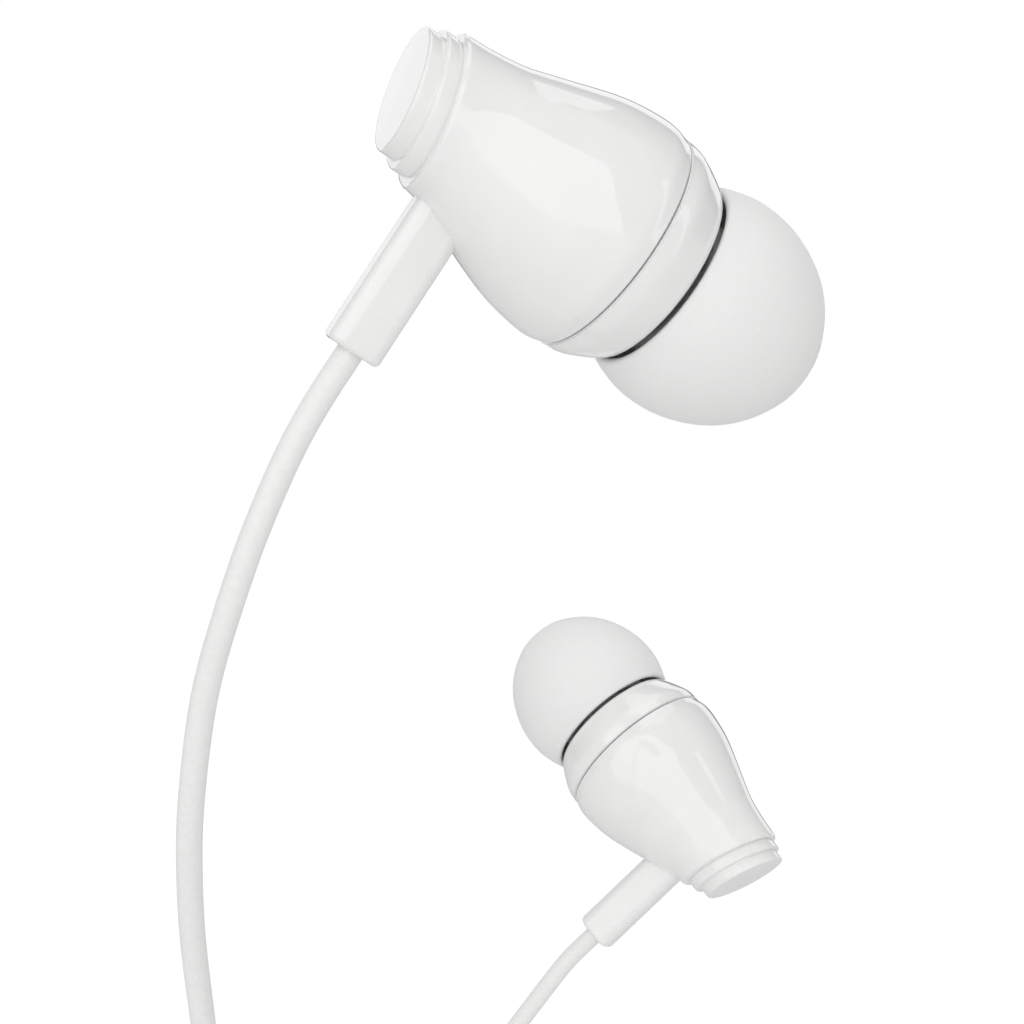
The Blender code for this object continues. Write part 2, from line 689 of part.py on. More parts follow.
def ear_cords(places):
    """Each ear cord: from its crimp to the hank, its turns, and on to the splitter."""
    middle = MAIN_LAYERS * (MAIN_CORD + HANK_PITCH) / 2
    split = Vector(SPLITTER_PLACE)
    plans = (
        ("left", LEFT_HANK_RADIUS, -1, LEFT_ROUTE, LEFT_TAIL_ROUTE),
        ("right", RIGHT_HANK_RADIUS, 1, RIGHT_ROUTE, RIGHT_TAIL_ROUTE),
    )
    for side, radius, way, route, tail_route in plans:
        near = HANK_Y + way * (middle + GAP)
        far = near + way * EAR_TURNS * (EAR_CORD + HANK_PITCH)
        first = near + way * EAR_CORD / 2
        last = far + way * (GAP + EAR_CORD / 2)
        left_run = HANK_X - radius
        outer = radius + EAR_CORD / 2
        entry = HANK_TOP + math.sqrt(outer**2 - (radius - EAR_CORD / 2) ** 2) + GAP
        start = [along(places[side], d) for d in (SLEEVE_START, SLEEVE_END, SLEEVE_END + 2 * EAR_CORD)]
        into = Vector((left_run, first, entry))
        tube(f"{side}_ear_cord", catmull([*start, *map(Vector, route), into], 8), EAR_CORD)
        hank_solid(f"{side}_ear_cord_hank", radius, EAR_CORD, near, far)
        fork = split + Vector((0, way * SPLITTER_FORK, GAP))
        down = [Vector((left_run, last, z)) for z in (HANK_TOP, HANK_TOP - HANK_RUN / 2, HANK_TOP - HANK_RUN)]
        above_fork = fork + Vector((0, 0, 2 * EAR_CORD))
        tube(
            f"{side}_ear_cord_tail",
            catmull([*down, *map(Vector, tail_route), above_fork, fork], 8),
            EAR_CORD,
        )


def hank_solid(name, outermost, diameter, low, high, innermost=None):
    """The outer shape of a hank: a racetrack ring between two places in Y."""
    inner = (outermost if innermost is None else innermost) - diameter / 2
    low, high = sorted((low, high))
    mesh = extruded(
        name,
        racetrack(outermost + diameter / 2, HANK_RUN),
        racetrack(inner, HANK_RUN),
        lambda u, v, h: (HANK_X + u, h, HANK_TOP + v),
        low,
        high,
    )
    return add(name, mesh, cord_jacket())


def main_cord():
    """The main cord: from the splitter up into its own hank, and from there down to the plug."""
    pitch = MAIN_CORD + HANK_PITCH
    half = MAIN_LAYERS * pitch / 2
    outer_radius = MAIN_INNER_RADIUS + pitch
    solid_radius = outer_radius + MAIN_CORD / 2
    hank_solid("main_cord_hank", outer_radius, MAIN_CORD, HANK_Y - half, HANK_Y + half, MAIN_INNER_RADIUS)
    bottom = HANK_TOP - HANK_RUN
    entry = bottom - math.sqrt(solid_radius**2 - (outer_radius - MAIN_CORD / 2) ** 2) - GAP
    exit_low = bottom - math.sqrt(solid_radius**2 - (MAIN_INNER_RADIUS - MAIN_CORD / 2) ** 2) - GAP
    leave = Vector(SPLITTER_PLACE) - Vector((0, 0, SPLITTER_LENGTH + SPLITTER_COLLAR_LENGTH + 2 * GAP))
    into = Vector((HANK_X + outer_radius, HANK_Y - pitch, entry))
    tube("main_cord_start", catmull([leave, *map(Vector, MAIN_START_ROUTE), into], 8), MAIN_CORD)
    out = Vector((HANK_X - MAIN_INNER_RADIUS, HANK_Y + pitch, exit_low))
    above_plug = Vector(PLUG_PLACE) + Vector((0, 0, GAP))
    over_plug = above_plug + Vector((0, 0, MAIN_CORD / 2))
    end_points = [out, *map(Vector, MAIN_END_ROUTE), over_plug, above_plug]
    tube("main_cord_end", catmull(end_points, 8), MAIN_CORD, SHORT_CORD_STEP)


def hank_tie():
    """The band round the middle of the hank."""
    ears = EAR_TURNS * (EAR_CORD + HANK_PITCH) + GAP + EAR_CORD
    half_depth = MAIN_LAYERS * (MAIN_CORD + HANK_PITCH) / 2 + GAP + ears + GAP
    half_width = MAIN_INNER_RADIUS + 1.5 * MAIN_CORD + HANK_PITCH + GAP
    half_width = max(half_width, RIGHT_HANK_RADIUS + EAR_CORD / 2 + GAP)
    inner = rounded_rectangle(2 * half_width, 2 * half_depth, TIE_CORNER - TIE_WALL)
    outer = rounded_rectangle(2 * (half_width + TIE_WALL), 2 * (half_depth + TIE_WALL), TIE_CORNER)
    middle = HANK_TOP - HANK_RUN / 2
    mesh = extruded(
        "hank_tie",
        outer,
        inner,
        lambda u, v, h: (HANK_X + u, HANK_Y + v, h),
        middle - TIE_HEIGHT / 2,
        middle + TIE_HEIGHT / 2,
    )
    add("hank_tie", mesh, charcoal())


def bar(name, width, depth, corner, place, length):
    """An upright rounded bar hanging from a place, with eased ends."""
    ease = 0.3
    shape = bmesh.new()
    levels = ((0.0, ease), (ease, 0.0), (length - ease, 0.0), (length, ease))
    rings = []
    for down, inset in levels:
        outline = rounded_rectangle(width - 2 * inset, depth - 2 * inset, corner - inset)
        rings.append([shape.verts.new(Vector(place) + Vector((u, v, -down))) for u, v in outline])
    count = len(rings[0])
    for ring, following in zip(rings, rings[1:]):
        for i in range(count):
            j = (i + 1) % count
            shape.faces.new((ring[i], ring[j], following[j], following[i]))
    shape.faces.new(rings[0])
    shape.faces.new(rings[-1])
    return finish_mesh(shape, name)


def splitter():
    """The body in which the ear cords join, and the collar that closes it round the main cord."""
    corner = SPLITTER_DEPTH / 2 - 0.1
    body = bar("splitter_body", SPLITTER_DEPTH, SPLITTER_WIDTH, corner, SPLITTER_PLACE, SPLITTER_LENGTH)
    add("splitter_body", body, white_gloss())
    below = Vector(SPLITTER_PLACE) - Vector((0, 0, SPLITTER_LENGTH + GAP))
    inset = 2 * SPLITTER_COLLAR_INSET
    collar = bar(
        "splitter_collar",
        SPLITTER_DEPTH - inset,
        SPLITTER_WIDTH - inset,
        corner - SPLITTER_COLLAR_INSET,
        below,
        SPLITTER_COLLAR_LENGTH,
    )
    add("splitter_collar", collar, charcoal())


def plug():
    """The jack: strain relief, grip, and three contacts parted by two insulators, all round one upright axis."""
    holder = bpy.data.objects.new("plug_axis", None)
    bpy.context.scene.collection.objects.link(holder)
    holder.matrix_world = Matrix.Translation(Vector(PLUG_PLACE) * MM) @ Matrix.Rotation(math.pi / 2, 4, "Y")
    relief = [(0.0, 0.0), (0.0, MAIN_CORD / 2 + RELIEF_WALL)]
    for i in range(RELIEF_STEPS):
        low = RELIEF_LENGTH * (i + 0.45) / RELIEF_STEPS
        radius = MAIN_CORD / 2 + RELIEF_WALL + (RELIEF_RADIUS - MAIN_CORD / 2 - RELIEF_WALL) * (i + 1) / RELIEF_STEPS
        relief += [(low, radius - 0.15), (low, radius)]
    relief += [(RELIEF_LENGTH, RELIEF_RADIUS), (RELIEF_LENGTH, 0.0)]
    grip_top = RELIEF_LENGTH + GAP
    grip_end = grip_top + PLUG_GRIP_LENGTH
    grip = (
        (grip_top, 0.0),
        (grip_top, PLUG_GRIP_RADIUS - PLUG_GRIP_EASE),
        (grip_top + PLUG_GRIP_EASE, PLUG_GRIP_RADIUS),
        (grip_end - PLUG_GRIP_EASE, PLUG_GRIP_RADIUS),
        (grip_end, PLUG_GRIP_RADIUS - PLUG_GRIP_EASE),
        (grip_end, 0.0),
    )
    inner = ROD_RADIUS + GAP
    at = grip_end + GAP
    sleeve = tube_outline(at, at + SLEEVE_CONTACT_LENGTH, JACK_RADIUS, inner)
    first = at + SLEEVE_CONTACT_LENGTH + GAP
    ring = first + INSULATOR_LENGTH + GAP
    second = ring + RING_CONTACT_LENGTH + GAP
    tip = second + INSULATOR_LENGTH + GAP
    ball = tip + TIP_CONTACT_LENGTH
    tip_contact = (
        (at + 0.5, 0.0),
        (at + 0.5, ROD_RADIUS),
        (tip, ROD_RADIUS),
        (tip, JACK_RADIUS - 0.35),
        (tip + 0.7, JACK_RADIUS - 0.55),
        (tip + 1.5, JACK_RADIUS),
        (ball - 0.5, JACK_RADIUS * 0.5),
        (ball, 0.4),
        (ball, 0.0),
    )
    pieces = (
        ("plug_strain_relief", relief, white_gloss()),
        ("plug_grip", grip, white_gloss()),
        ("plug_sleeve_contact", sleeve, plated()),
        ("plug_upper_insulator", tube_outline(first, first + INSULATOR_LENGTH, JACK_RADIUS, inner), charcoal()),
        ("plug_ring_contact", tube_outline(ring, ring + RING_CONTACT_LENGTH, JACK_RADIUS, inner), plated()),
        ("plug_lower_insulator", tube_outline(second, second + INSULATOR_LENGTH, JACK_RADIUS, inner), charcoal()),
        ("plug_tip_contact", tip_contact, plated()),
    )
    for name, outline, finish in pieces:
        add(name, turned(name, outline, FINE_SIDES), finish, holder)


def main():
    for item in list(bpy.data.objects):
        bpy.data.objects.remove(item)
    pieces = earpiece_pieces()
    places = {side: place_earpiece(side, pieces) for side in EARPIECES}
    bpy.context.view_layer.update()
    ear_cords(places)
    main_cord()
    hank_tie()
    splitter()
    plug()


main()
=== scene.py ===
# %% [markdown]
# # Wired earphones
# A pair of white in-ear earphones, held by their ear tips, with the spare cord wound into a tied hank.
# The solid model gives every place and size. This file gives each piece its fine surface and its finish.
# We begin by loading that model as a fixed frame, and we note its outer box before anything is added.

import json
import math

import bmesh
import bpy
import numpy as np
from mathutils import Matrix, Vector


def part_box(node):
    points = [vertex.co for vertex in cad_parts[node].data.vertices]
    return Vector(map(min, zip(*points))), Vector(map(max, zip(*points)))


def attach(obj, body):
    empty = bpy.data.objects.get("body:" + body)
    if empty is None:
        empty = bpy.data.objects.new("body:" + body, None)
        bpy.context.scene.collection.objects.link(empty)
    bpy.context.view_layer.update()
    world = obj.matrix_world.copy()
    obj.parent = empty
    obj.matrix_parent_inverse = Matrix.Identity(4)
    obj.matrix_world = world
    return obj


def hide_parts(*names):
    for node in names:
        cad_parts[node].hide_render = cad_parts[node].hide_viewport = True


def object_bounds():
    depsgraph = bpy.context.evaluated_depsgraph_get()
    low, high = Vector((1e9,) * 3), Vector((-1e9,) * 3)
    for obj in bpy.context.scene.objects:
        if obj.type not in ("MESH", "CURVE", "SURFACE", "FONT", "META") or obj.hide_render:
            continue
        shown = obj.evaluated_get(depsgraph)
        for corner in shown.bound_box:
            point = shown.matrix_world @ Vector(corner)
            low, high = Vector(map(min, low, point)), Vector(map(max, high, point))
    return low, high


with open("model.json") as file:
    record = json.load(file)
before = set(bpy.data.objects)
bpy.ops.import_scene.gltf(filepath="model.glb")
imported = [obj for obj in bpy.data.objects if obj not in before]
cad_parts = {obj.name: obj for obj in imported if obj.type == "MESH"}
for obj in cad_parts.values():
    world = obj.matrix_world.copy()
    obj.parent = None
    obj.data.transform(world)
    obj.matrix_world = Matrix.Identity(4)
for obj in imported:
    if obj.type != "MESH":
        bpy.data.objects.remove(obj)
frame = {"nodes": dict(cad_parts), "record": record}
SOLID_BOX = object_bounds()
MM = 0.001
mounts = {m["name"]: m for m in frame["record"]["mounts"]}

# %% [markdown]
# ## The camera
# It looks level along +Y from a hand's width away, with a lens a little longer than normal. That is close
# enough for the nearer earpiece to look clearly larger than the farther one.

# %% Camera
CAMERA_PLACE = (-0.00916, -0.10316, -0.01107)
FOCAL_LENGTH = 70.3  # mm, on a sensor 36 mm wide
lens = bpy.data.cameras.new("camera")
lens.lens, lens.sensor_width, lens.clip_start = FOCAL_LENGTH, 36.0, 0.005
camera = bpy.data.objects.new("camera", lens)
camera.location = CAMERA_PLACE
camera.rotation_euler = (math.pi / 2, 0.0, 0.0)
bpy.context.scene.collection.objects.link(camera)
bpy.context.scene.camera = camera
print("camera", CAMERA_PLACE, "lens", FOCAL_LENGTH)

# %% [markdown]
# ## Surfaces from arrays
# Every new piece is a grid of points with two parameters. The grid is worked out as one array, and a single
# helper turns it into a mesh: it joins each point to its neighbours, closes the grid where it runs round, and
# merges the points that meet at a pole. Two more helpers draw outlines: one passes a smooth curve through a
# few points, the other rounds the corners of a polygon.


# %% Grid to mesh
def surface(name, grid, round_u=False, round_v=False):
    """A smooth mesh through grid[u, v] = (x, y, z) in metres.

    round_u joins the last row to the first, and round_v does so with the columns.
    """
    rows, columns = grid.shape[:2]
    index = np.arange(rows * columns).reshape(rows, columns)
    if round_u:
        index = np.vstack([index, index[:1]])
    if round_v:
        index = np.hstack([index, index[:, :1]])
    quads = np.stack([index[:-1, :-1], index[1:, :-1], index[1:, 1:], index[:-1, 1:]], -1).reshape(-1, 4)
    mesh = bpy.data.meshes.new(name)
    mesh.vertices.add(rows * columns)
    mesh.vertices.foreach_set("co", grid.reshape(-1).astype(np.float32))
    mesh.loops.add(quads.size)
    mesh.loops.foreach_set("vertex_index", quads.reshape(-1).astype(np.int32))
    mesh.polygons.add(len(quads))
    mesh.polygons.foreach_set("loop_start", np.arange(0, quads.size, 4, dtype=np.int32))
    mesh.polygons.foreach_set("loop_total", np.full(len(quads), 4, dtype=np.int32))
    mesh.update(calc_edges=True)
    work = bmesh.new()
    work.from_mesh(mesh)
    bmesh.ops.remove_doubles(work, verts=work.verts, dist=2e-7)
    bmesh.ops.recalc_face_normals(work, faces=work.faces)
    work.to_mesh(mesh)
    work.free()
    mesh.shade_smooth()
    mesh.set_sharp_from_angle(angle=math.radians(40))
    piece = bpy.data.objects.new(name, mesh)
    bpy.context.scene.collection.objects.link(piece)
    return piece


def smooth_line(points, steps=8):
    """Catmull-Rom: a cubic between points, its slope at each half the step between the neighbours."""
    p = np.asarray(points, float)
    p = np.vstack([2 * p[0] - p[1], p, 2 * p[-1] - p[-2]])
    t = (np.arange(steps) / steps)[None, :, None]
    a, b, c, d = (p[i : len(p) - 3 + i, None, :] for i in range(4))
    curve = 0.5 * (2 * b + (c - a) * t + (2 * a - 5 * b + 4 * c - d) * t**2 + (3 * b - a - 3 * c + d) * t**3)
    return np.vstack([curve.reshape(-1, p.shape[1]), p[-2:-1]])


def eased(corners, steps=6):
    """A polygon of (x, radius, ease) with each corner swapped for a parabola that starts its ease away."""
    c = np.asarray(corners, float)
    p, ease = c[:, :2], c[:, 2:3]
    before, after = np.roll(p, 1, 0) - p, np.roll(p, -1, 0) - p
    size_before = np.linalg.norm(before, axis=1, keepdims=True)
    size_after = np.linalg.norm(after, axis=1, keepdims=True)
    start = p + before / size_before * np.minimum(ease, size_before * 0.48)
    end = p + after / size_after * np.minimum(ease, size_after * 0.48)
    t = np.linspace(0, 1, steps)[None, :, None]
    arcs = (1 - t) ** 2 * start[:, None] + 2 * t * (1 - t) * p[:, None] + t**2 * end[:, None]
    return arcs.reshape(-1, 2)


def even_steps(line, step):
    """The same line with its points a step apart, read off along its running length."""
    line = np.asarray(line, float)
    run = np.concatenate([[0.0], np.cumsum(np.linalg.norm(np.diff(line, axis=0), axis=1))])
    keep = np.concatenate([[True], np.diff(run) > 0])
    marks = np.linspace(0, run[-1], max(2, int(round(run[-1] / step)) + 1))
    return np.stack([np.interp(marks, run[keep], line[keep, k]) for k in range(line.shape[1])], 1)


# %% [markdown]
# ## Where the earpieces are
# Each earpiece is turned work, so it is easiest to draw along one axis. The record's mounts say where that
# axis lies: the ear seat gives the origin and the direction from tail to tip, and the slanted tail face leans
# towards the cord's sleeve, which gives the second direction.

# %% Frames of the two earpieces
SIDES = ("left", "right")


def earpiece_frame(side):
    """Origin in metres and a 3 x 3 matrix whose columns are the earpiece's own X, Y and Z."""
    origin = np.array(mounts[f"{side}_ear_seat"]["pos_m"])
    x = np.array(mounts[f"{side}_ear_seat"]["axis"])
    x /= np.linalg.norm(x)
    lean = np.array(mounts[f"{side}_tail_face"]["axis"])
    z = -(lean - lean.dot(x) * x)
    z /= np.linalg.norm(z)
    return origin, np.stack([x, np.cross(z, x), z], 1)


FRAMES = {side: earpiece_frame(side) for side in SIDES}


def placed(points, side):
    """Points in an earpiece's own millimetres, carried to the row's metres."""
    origin, turn = FRAMES[side]
    return origin + points @ turn.T * MM


def turned(name, outline, side, slices=144, shape=None):
    """A lathe: each (x, radius) of a closed outline is carried round the earpiece's axis."""
    angle = np.linspace(0, math.tau, slices, endpoint=False)
    x, radius = outline[:, 0:1], outline[:, 1:2]
    grid = np.stack([x + 0 * angle, radius * np.cos(angle), radius * np.sin(angle)], -1)
    if shape is not None:
        grid = shape(grid)
    return surface(name, placed(grid, side), round_u=True, round_v=True)


print("earpieces apart:", round(float(np.linalg.norm(FRAMES["left"][0] - FRAMES["right"][0])), 4), "m")

# %% [markdown]
# ## Materials
# One small function adds a node with its settings and links. A colour is written as an sRGB hex value and
# turned to the linear value that the shader wants.


# %% Material helpers
def rgb(code):
    """Linear colour of an sRGB hex value."""
    v = np.array([int(code[i : i + 2], 16) for i in (0, 2, 4)]) / 255
    return (*np.where(v <= 0.04045, v / 12.92, ((v + 0.055) / 1.055) ** 2.4), 1.0)


def node(tree, kind, links=(), **settings):
    """A node of a kind, with its inputs set by name and its links (source socket, input name) made."""
    made = tree.nodes.new(kind)
    for key, value in settings.items():
        if key in made.inputs:
            made.inputs[key].default_value = value
        else:
            setattr(made, key, value)
    for source, target in links:
        tree.links.new(source, made.inputs[target])
    return made


def finish(name, colour, roughness, **sockets):
    """A new Principled material; returns it with its tree and shader."""
    made = bpy.data.materials.new(name)
    made.use_nodes = True
    tree = made.node_tree
    shader = tree.nodes["Principled BSDF"]
    shader.inputs["Base Color"].default_value = rgb(colour)
    shader.inputs["Roughness"].default_value = roughness
    for key, value in sockets.items():
        shader.inputs[key.replace("_", " ")].default_value = value
    return made, tree, shader


def grain(tree, shader, size_mm, depth_mm, strength, tones=None, rough=None):
    """Fine relief from noise with features size_mm wide.

    The same noise can vary the tone (two hex values) and the gloss (two roughness values).
    """
    place = node(tree, "ShaderNodeTexCoord")
    noise = node(
        tree,
        "ShaderNodeTexNoise",
        [(place.outputs["Object"], "Vector")],
        Scale=1 / (size_mm * MM),
        Detail=3.0,
    )
    bump = node(
        tree, "ShaderNodeBump", [(noise.outputs["Fac"], "Height")], Strength=strength, Distance=depth_mm * MM
    )
    tree.links.new(bump.outputs["Normal"], shader.inputs["Normal"])
    if tones:
        ramp = node(tree, "ShaderNodeValToRGB", [(noise.outputs["Fac"], "Fac")])
        ramp.color_ramp.elements[0].position, ramp.color_ramp.elements[1].position = 0.35, 0.65
        ramp.color_ramp.elements[0].color, ramp.color_ramp.elements[1].color = rgb(tones[0]), rgb(tones[1])
        tree.links.new(ramp.outputs["Color"], shader.inputs["Base Color"])
    if rough:
        spread = node(tree, "ShaderNodeMapRange", [(noise.outputs["Fac"], "Value")])
        spread.inputs["To Min"].default_value, spread.inputs["To Max"].default_value = rough
        tree.links.new(spread.outputs["Result"], shader.inputs["Roughness"])
    return place


# %% [markdown]
# ### The finishes of this object
# The casings are injection-moulded ABS from a polished mould: sharp reflections, with the faint long ripple
# that moulding leaves. The tips are silicone, matte and a little translucent. The cord's jacket is a satin
# thermoplastic elastomer. The gap between casing and tip shows a charcoal elastomer gasket.


# %% Plastics and rubbers
def polished_abs():
    """White ABS: clear gloss, tone nearly even; the ripple is 2 mm long and only microns deep."""
    made, tree, shader = finish(
        "polished_white_abs", "f3f3f2", 0.05, IOR=1.53, Coat_Weight=1.0, Coat_Roughness=0.02
    )
    grain(tree, shader, 2.0, 0.002, 0.06, ("f3f3f2", "f5f5f4"), (0.04, 0.07))
    return made


def matte_silicone():
    """White silicone: wide soft highlight, light carried a little way under the skin, fine mould grain."""
    made, tree, shader = finish("matte_white_silicone", "efefee", 0.5, IOR=1.41, Subsurface_Weight=0.12)
    shader.inputs["Subsurface Radius"].default_value = (1.0, 0.9, 0.85)
    shader.inputs["Subsurface Scale"].default_value = 0.6 * MM
    grain(tree, shader, 0.12, 0.003, 0.15, ("f0f0ef", "f3f3f2"), (0.44, 0.56))
    return made


def satin_jacket():
    """White elastomer jacket: satin, with the drawn skin's faint unevenness at 0.3 mm."""
    made, tree, shader = finish("satin_white_elastomer", "f2f2f1", 0.32, IOR=1.5)
    grain(tree, shader, 0.3, 0.004, 0.1, ("f0f0ef", "f4f4f3"), (0.28, 0.36))
    return made


def charcoal_rubber():
    """Charcoal elastomer: nearly black, dull, with a fine moulded grain."""
    made, tree, shader = finish("charcoal_elastomer", "222326", 0.62, IOR=1.5)
    grain(tree, shader, 0.15, 0.01, 0.5, ("1d1e20", "292a2d"), (0.55, 0.7))
    return made


def black_abs():
    """Black ABS of the driver's basket: spark-eroded grain."""
    made, tree, shader = finish("black_moulded_abs", "1b1c1e", 0.5)
    grain(tree, shader, 0.2, 0.02, 0.5, ("17181a", "202124"), (0.45, 0.58))
    return made


# %% [markdown]
# ### Metals and the rest
# The jack is turned brass with gold plating, so fine turning rings show as bands of gloss round its axis.
# The screen in the nozzle is woven steel wire. The driver's own pieces are hidden in the closed casing, and
# they still get their real finishes, because a casing can be hidden.


# %% Metals, film, felt and board
def gold_plate():
    """Gold over turned brass: rings a tenth of a millimetre apart across the upright axis."""
    made, tree, shader = finish("gold_plated_brass", "e2bd74", 0.16, Metallic=1.0)
    place = node(tree, "ShaderNodeTexCoord")
    wave = node(
        tree,
        "ShaderNodeTexWave",
        [(place.outputs["Object"], "Vector")],
        Scale=math.pi / (10 * 0.1 * MM),
        bands_direction="Z",
    )
    bump = node(tree, "ShaderNodeBump", [(wave.outputs["Fac"], "Height")], Strength=0.15, Distance=0.002 * MM)
    tree.links.new(bump.outputs["Normal"], shader.inputs["Normal"])
    return made


def woven_steel():
    """Steel cloth: two crossed waves, 0.25 mm from wire to wire; where both are low the hole is dark."""
    made, tree, shader = finish("woven_steel_screen", "a7a9ab", 0.35)
    shader.inputs["Metallic"].default_value = 0.9
    place = node(tree, "ShaderNodeTexCoord")
    waves = [
        node(
            tree,
            "ShaderNodeTexWave",
            [(place.outputs["Object"], "Vector")],
            Scale=math.pi / (10 * 0.25 * MM),
            bands_direction=way,
        )
        for way in ("X", "Z")
    ]
    top = node(
        tree,
        "ShaderNodeMath",
        operation="MAXIMUM",
    )
    tree.links.new(waves[0].outputs["Fac"], top.inputs[0])
    tree.links.new(waves[1].outputs["Fac"], top.inputs[1])
    ramp = node(tree, "ShaderNodeValToRGB", [(top.outputs[0], "Fac")])
    ramp.color_ramp.elements[0].position, ramp.color_ramp.elements[1].position = 0.35, 0.6
    ramp.color_ramp.elements[0].color, ramp.color_ramp.elements[1].color = rgb("2a2b2c"), rgb("b4b6b8")
    tree.links.new(ramp.outputs["Color"], shader.inputs["Base Color"])
    bump = node(tree, "ShaderNodeBump", [(top.outputs[0], "Height")], Strength=0.6, Distance=0.05 * MM)
    tree.links.new(bump.outputs["Normal"], shader.inputs["Normal"])
    return made


def grained(name, colour, roughness, size_mm, metallic=0.0):
    """A plain stock finish with its grain: plated steel, copper wire, film, felt or board."""
    made, tree, shader = finish(name, colour, roughness, Metallic=metallic)
    grain(tree, shader, size_mm, 0.01, 0.4)
    return made


FINISHES = {
    "gloss_white_abs": polished_abs(),
    "white_silicone": matte_silicone(),
    "cord_jacket": satin_jacket(),
    "charcoal_elastomer": charcoal_rubber(),
    "black_abs": black_abs(),
    "gold_plating": gold_plate(),
    "steel": grained("plated_steel", "b4b6b9", 0.3, 0.4, 1.0),
    "plated_magnet": grained("nickel_plate", "a9abad", 0.22, 0.8, 1.0),
    "copper_wire": grained("enamelled_copper", "b8734a", 0.32, 0.1, 0.9),
    "polymer_film": grained("polymer_film", "c9b98f", 0.25, 1.0),
    "black_felt": grained("acoustic_felt", "26262a", 0.95, 0.1),
    "circuit_board": grained("green_circuit_board", "2f5d44", 0.4, 0.5),
}
SCREEN = woven_steel()
print(len(FINISHES) + 1, "finishes")

# %% [markdown]
# ## Joining pieces to the model
# A new piece rides on a body, stands for one or more solids, and takes its finish from a slot of the record.


# %% One call for each new piece
def join(piece, body, slot, *nodes, material=None):
    """Gives a piece the finish of its slot and its body, and hides the solids that it stands for."""
    piece.data.materials.clear()
    piece.data.materials.append(material or FINISHES[slot])
    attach(piece, body)
    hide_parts(*nodes)
    return piece


SLOT_OF = {s["node"]: s["material_slot"] for s in frame["record"]["subparts"]}
for name, obj in frame["nodes"].items():
    obj.data.materials.clear()
    obj.data.materials.append(FINISHES[SLOT_OF[name]])

# %% [markdown]
# ## Cords: facts first
# The jacket of each ear cord is 1.4 mm across, and the main cord's is 2.2 mm. Each ear cord leaves its sleeve
# along the sleeve's axis, hangs in one easy curve, and is wound twice round the hank before it runs down to
# the splitter. The main cord turns up from the splitter, fills its own part of the hank and ends in the plug.

# %% Cord sizes, as in the solid model
GAP = 0.3
EAR_CORD, MAIN_CORD = 1.4, 2.2
PITCH_GAP = 0.1
HANK_X, HANK_Y, HANK_TOP, HANK_RUN = -17.5, 32.0, -82.0, 34.0
MAIN_INNER, MAIN_LAYERS, EAR_TURNS = 6.8, 3, 2
HANK_RADIUS = {"left": 7.0, "right": 9.0}
SLEEVE_X, SLEEVE_START, SLEEVE_END = -13.5, 2.3, 12.0
SPLITTER_TOP = np.array([-25.2, 28.2, -135.0])
SPLITTER_LENGTH, COLLAR_LENGTH, FORK = 10.0, 1.5, 1.2
PLUG_TOP = np.array([-17.5, 38.5, -137.0])

ROUTE = {
    "left": [
        (-20.2, -4.6, -8.3), (-22.0, -4.2, -12.4), (-23.4, -3.4, -16.2), (-24.4, -2.4, -19.2),
        (-25.1, -1.2, -22.0), (-25.8, 0.6, -26.0), (-26.2, 2.4, -29.4), (-26.5, 5.4, -34.1),
        (-26.5, 9.0, -39.6), (-26.4, 13.0, -46.2), (-26.0, 17.4, -53.6), (-25.4, 21.8, -61.4),
        (-24.8, 25.4, -69.6),
    ],
    "right": [
        (-5.7, 53.5, -47.3), (-8.7, 54.2, -51.4), (-12.2, 53.6, -56.0), (-16.2, 51.8, -60.8),
        (-20.2, 48.8, -65.6), (-23.8, 44.6, -70.6), (-25.9, 40.2, -74.6),
    ],
}
TAIL_ROUTE = {
    "left": [(-24.6, 24.5, -121.0), (-24.9, 25.8, -127.6)],
    "right": [(-26.6, 39.5, -119.6), (-26.5, 38.0, -123.6), (-26.0, 34.6, -127.4), (-25.4, 31.0, -130.6)],
}
MAIN_START = [
    (-25.2, 28.2, -149.6), (-24.0, 28.2, -153.0), (-21.2, 28.4, -155.8), (-16.9, 28.6, -156.9),
    (-12.6, 29.0, -155.2), (-9.8, 29.4, -151.2), (-8.6, 29.7, -145.6), (-8.4, 29.7, -136.0),
]
MAIN_END = [(-23.6, 34.8, -128.6), (-20.6, 36.8, -131.2), (-18.2, 38.2, -133.2)]

# %% [markdown]
# A turn of a hank is a racetrack: one run, a half circle, the other run, a half circle. The cord changes its
# radius or its place in Y only in the last half circle of a turn, and eases into the change, so that turns
# lie beside each other without crossing.


# %% Turns of a hank
def ease_in(t, start, end):
    """0 before start, 1 after end, and a smooth step 3s^2 - 2s^3 between."""
    s = np.clip((t - start) / (end - start), 0, 1)
    return s * s * (3 - 2 * s)


def turn_of_hank(radius, y, next_radius, next_y, downwards, closing=True, steps=24):
    """Points of one turn: first run, half circle, second run and, if closing, the half circle that shifts."""
    way = -1.0 if downwards else 1.0
    low, high = HANK_TOP - HANK_RUN, HANK_TOP
    first, last = (high, low) if downwards else (low, high)
    run = np.linspace(0, 1, steps, endpoint=False)
    side = way * radius
    parts = [np.stack([HANK_X + side + 0 * run, y + 0 * run, first + (last - first) * run], 1)]
    bend = math.pi * run
    parts.append(
        np.stack([HANK_X + side * np.cos(bend), y + 0 * bend, last + way * radius * np.sin(bend)], 1)
    )
    parts.append(np.stack([HANK_X - side + 0 * run, y + 0 * run, last + (first - last) * run], 1))
    if closing:
        wide = radius + (next_radius - radius) * ease_in(run, 0.35, 1.0)
        deep = y + (next_y - y) * ease_in(run, 0.0, 0.65)
        parts.append(
            np.stack([HANK_X - way * wide * np.cos(bend), deep, first - way * wide * np.sin(bend)], 1)
        )
    return np.vstack(parts)


